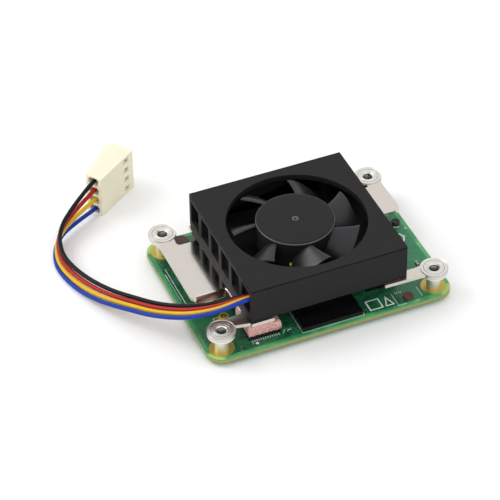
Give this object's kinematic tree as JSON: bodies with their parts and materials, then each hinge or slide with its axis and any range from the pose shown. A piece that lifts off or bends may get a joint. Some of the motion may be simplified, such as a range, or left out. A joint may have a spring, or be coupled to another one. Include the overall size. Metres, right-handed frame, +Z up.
{
  "type": "single board computer",
  "caption": "Small computer board with a bracketed square cooling fan on threaded standoffs, its wires ending in a header plug.",
  "frame": {"origin": "bottom centre of the board assembly, on the mating faces of its two board-to-board connectors", "axes": "+X along the board's 55 mm side, away from the wire outlet; +Y along its 40 mm side, away from the side seen in front; +Z up through the fan"},
  "size_m": [0.0738, 0.0669, 0.016],
  "materials": {
    "solder_mask": "green solder mask over glass-fibre board",
    "nickel": "bright nickel plating",
    "black_housing": "fine-grained moulded plastic",
    "chip_black": "moulded chip epoxy",
    "thermal_pink": "soft filled silicone",
    "brass": "turned or stamped brass and gold plating",
    "steel": "plain steel",
    "copper": "enamelled copper winding",
    "ferrite": "dark brown ferrite",
    "cream_nylon": "cream nylon",
    "white_ink": "white legend ink",
    "lamination": "stacked electrical steel",
    "wire_black": "soft PVC",
    "wire_red": "soft PVC",
    "wire_yellow": "soft PVC",
    "wire_blue": "soft PVC"
  },
  "bodies": {
    "root": {"antenna_connector": "brass", "bearing_tube": "brass", "board_connector_back": "chip_black", "board_connector_front": "chip_black", "bracket_plate": "nickel", "clock_crystal": "steel", "computer_board": "solder_mask", "fan_base": "black_housing", "fan_housing": "black_housing", "fan_plug": "cream_nylon", "front_inductor": "ferrite", "hall_driver": "chip_black", "housing_screw_1": "steel", "housing_screw_2": "steel", "housing_screw_3": "steel", "housing_screw_4": "steel", "memory_chip": "chip_black", "motor_board": "solder_mask", "network_chip": "chip_black", "plug_contact_1": "brass", "plug_contact_2": "brass", "plug_contact_3": "brass", "plug_contact_4": "brass", "power_controller": "chip_black", "power_pad": "thermal_pink", "processor_lid": "nickel", "processor_pad": "thermal_pink", "processor_substrate": "solder_mask", "rear_inductor": "ferrite", "side_inductor": "ferrite", "sleeve_bearing": "brass", "standoff_front_left": "nickel", "standoff_front_right": "nickel", "standoff_rear_left": "nickel", "standoff_rear_right": "nickel", "stator_coil_1": "copper", "stator_coil_2": "copper", "stator_coil_3": "copper", "stator_coil_4": "copper", "stator_core": "lamination", "storage_chip": "chip_black", "storage_pad": "thermal_pink", "wire_black": "wire_black", "wire_blue": "wire_blue", "wire_red": "wire_red", "wire_yellow": "wire_yellow", "wireless_pad": "thermal_pink", "wireless_shield": "nickel"},
    "rotor": {"fan_rotor": "black_housing", "rotor_magnet": "ferrite", "rotor_yoke": "steel", "rotor_shaft": "steel", "shaft_clip": "cream_nylon"}
  },
  "joints": [
    {"name": "rotor_spin", "type": "hinge", "parent": "root", "child": "rotor", "pos_m": [-0.0003, 0.0002, 0.012], "axis": [0, 0, 1], "continuous": true}
  ]
}
